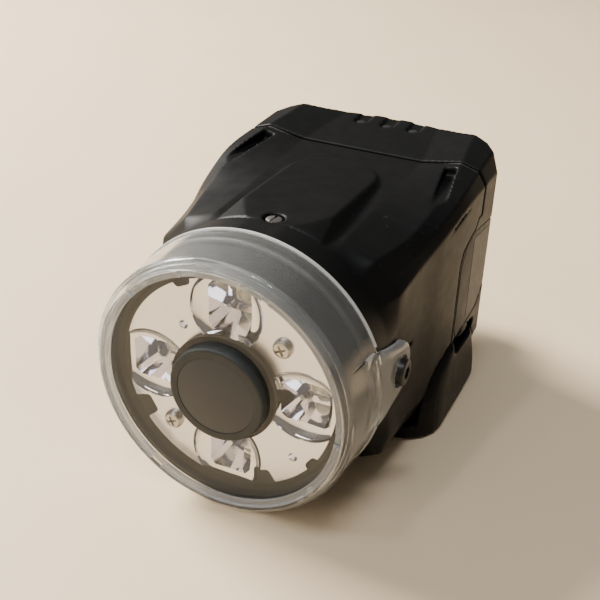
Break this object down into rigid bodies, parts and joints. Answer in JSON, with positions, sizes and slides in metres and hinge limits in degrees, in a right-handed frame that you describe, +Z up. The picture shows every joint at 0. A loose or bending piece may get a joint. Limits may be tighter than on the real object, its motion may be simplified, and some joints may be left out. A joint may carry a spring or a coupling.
{
  "type": "machine vision sensor head",
  "caption": "Compact black vision sensor head on a mounting base, with a ring light of mirrored cups round a central lens hood under a clear round front cover with side ears.",
  "frame": {"origin": "on the standing plane, under the middle of the bounding box", "axes": "+Y from the front cover to the rear connectors, +X to the right seen from the front, +Z up"},
  "size_m": [0.0708, 0.1094, 0.064],
  "materials": {
    "housing_black": "fine matte grain",
    "clear_cover": "clear, faintly hazy plastic",
    "bezel_grey": "satin",
    "mirror_plate": "vacuum-metallised",
    "bright_steel": "turned",
    "black_steel": "black oxide",
    "hood_grey": "matte",
    "window_dark": "smoked",
    "rubber_black": "matte",
    "brass_plain": "turned",
    "aluminium_plain": "milled",
    "anodised_black": "black anodised",
    "board_green": "solder mask",
    "chip_black": "moulded",
    "optical_glass": "polished and coated",
    "emitter_yellow": "silicone dome",
    "label_grey": "satin film",
    "indicator_clear": "moulded light pipe",
    "nickel": "nickel plated",
    "insert_black": "moulded",
    "contact_gold": "gold flash",
    "ribbon_amber": "polyimide"
  },
  "bodies": {
    "body": {"front_cover": "clear_cover", "front_window": "clear_cover", "window_retainer": "clear_cover", "cover_seal": "rubber_black", "cover_screws": "black_steel", "light_bezel": "bezel_grey", "reflector": "mirror_plate", "reflector_screws": "bright_steel", "light_board": "board_green", "light_emitters": "emitter_yellow", "lens_hood": "hood_grey", "lens_window": "window_dark", "hood_seal": "rubber_black", "front_housing": "housing_black", "rear_cover": "housing_black", "housing_gasket": "rubber_black", "label_plate": "label_grey", "mounting_base": "housing_black", "mount_inserts": "brass_plain", "base_screws": "black_steel", "adjuster_bush": "brass_plain", "guide_rods": "bright_steel", "lens_frame": "aluminium_plain", "sensor_board": "board_green", "image_sensor": "chip_black", "sensor_posts": "aluminium_plain", "main_board": "board_green", "processor": "chip_black", "heat_spreader": "aluminium_plain", "memory_chips": "chip_black", "power_board": "board_green", "power_capacitors": "aluminium_plain", "power_choke": "chip_black", "board_posts": "aluminium_plain", "board_screws": "bright_steel", "flat_cable": "ribbon_amber", "power_connector": "nickel", "power_insert": "insert_black", "power_pins": "contact_gold", "power_nut": "nickel", "network_connector": "nickel", "network_insert": "insert_black", "network_pins": "contact_gold", "network_nut": "nickel", "connector_seals": "rubber_black", "indicator_lenses": "indicator_clear", "indicator_board": "board_green", "indicator_chips": "emitter_yellow", "case_screws": "bright_steel"},
    "adjuster": {"focus_adjuster": "bright_steel", "focus_pinion": "brass_plain", "adjuster_clip": "bright_steel"},
    "carriage": {"lens_carriage": "anodised_black", "front_lens": "optical_glass", "rear_lens": "optical_glass", "lens_spacer": "anodised_black", "lens_lock_ring": "anodised_black"}
  },
  "joints": [
    {"name": "focus_turn", "type": "hinge", "parent": "body", "child": "adjuster", "pos_m": [0, -0.02805, 0.06], "axis": [0, 0, 1], "range_deg": [-51, 51]},
    {"name": "lens_slide", "type": "slide", "parent": "body", "child": "carriage", "axis": [0, 1, 0], "range_m": [-0.00266, 0.00266]}
  ],
  "couplings": [
    {"joint": "focus_turn", "follows": "lens_slide", "rad_per_m": 333.33}
  ]
}
